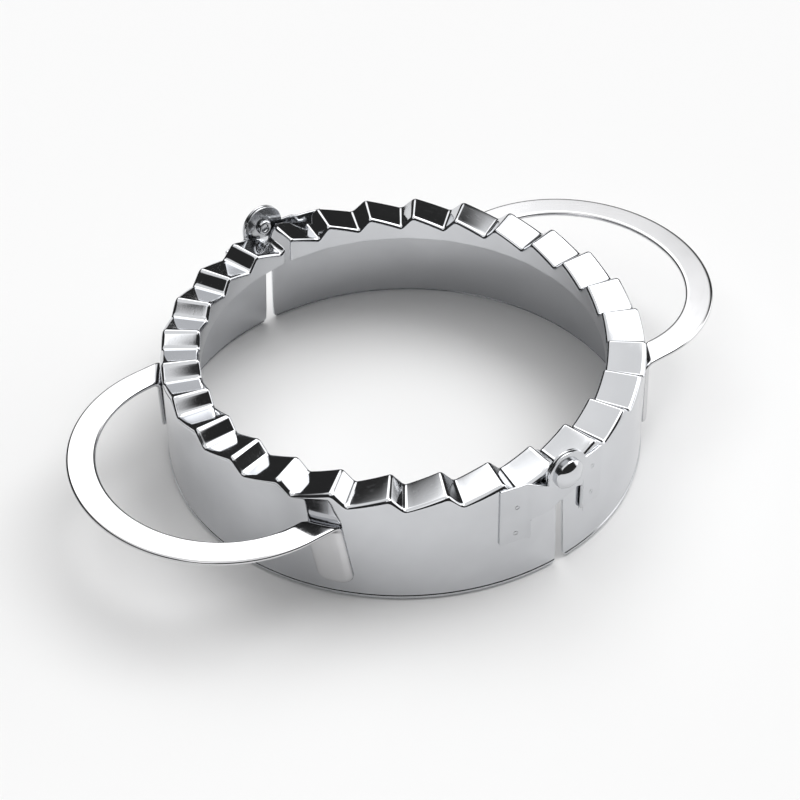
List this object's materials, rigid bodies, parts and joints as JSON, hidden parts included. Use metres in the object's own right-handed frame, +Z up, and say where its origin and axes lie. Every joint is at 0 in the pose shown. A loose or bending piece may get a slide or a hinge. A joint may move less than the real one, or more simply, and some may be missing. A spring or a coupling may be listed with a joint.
{
  "type": "empanada press",
  "caption": "Hinged ring of two pressed steel half shells with a wavy crimping rim, a loop handle on each side and riveted hinge straps; it cuts, folds and crimps filled dough.",
  "frame": {"origin": "on the table, at the centre of the open ring", "axes": "+Z up, +X towards the right handle, the hinge line runs along Y, front at -Y"},
  "size_m": [0.181, 0.1296, 0.0359],
  "materials": {
    "pressed_steel": "polished",
    "handle_steel": "polished",
    "strap_steel": "polished",
    "rivet_steel": "polished"
  },
  "bodies": {
    "left_half": {"left_shell": "pressed_steel", "left_handle": "handle_steel", "front_outer_strap": "strap_steel", "back_inner_strap": "strap_steel", "front_rivet": "rivet_steel"},
    "right_half": {"right_shell": "pressed_steel", "right_handle": "handle_steel", "back_outer_strap": "strap_steel", "front_inner_strap": "strap_steel", "back_rivet": "rivet_steel"}
  },
  "joints": [
    {"name": "fold", "type": "hinge", "parent": "left_half", "child": "right_half", "pos_m": [0, 0, 0.03015], "axis": [0, -1, 0], "range_deg": [-4, 180]}
  ]
}
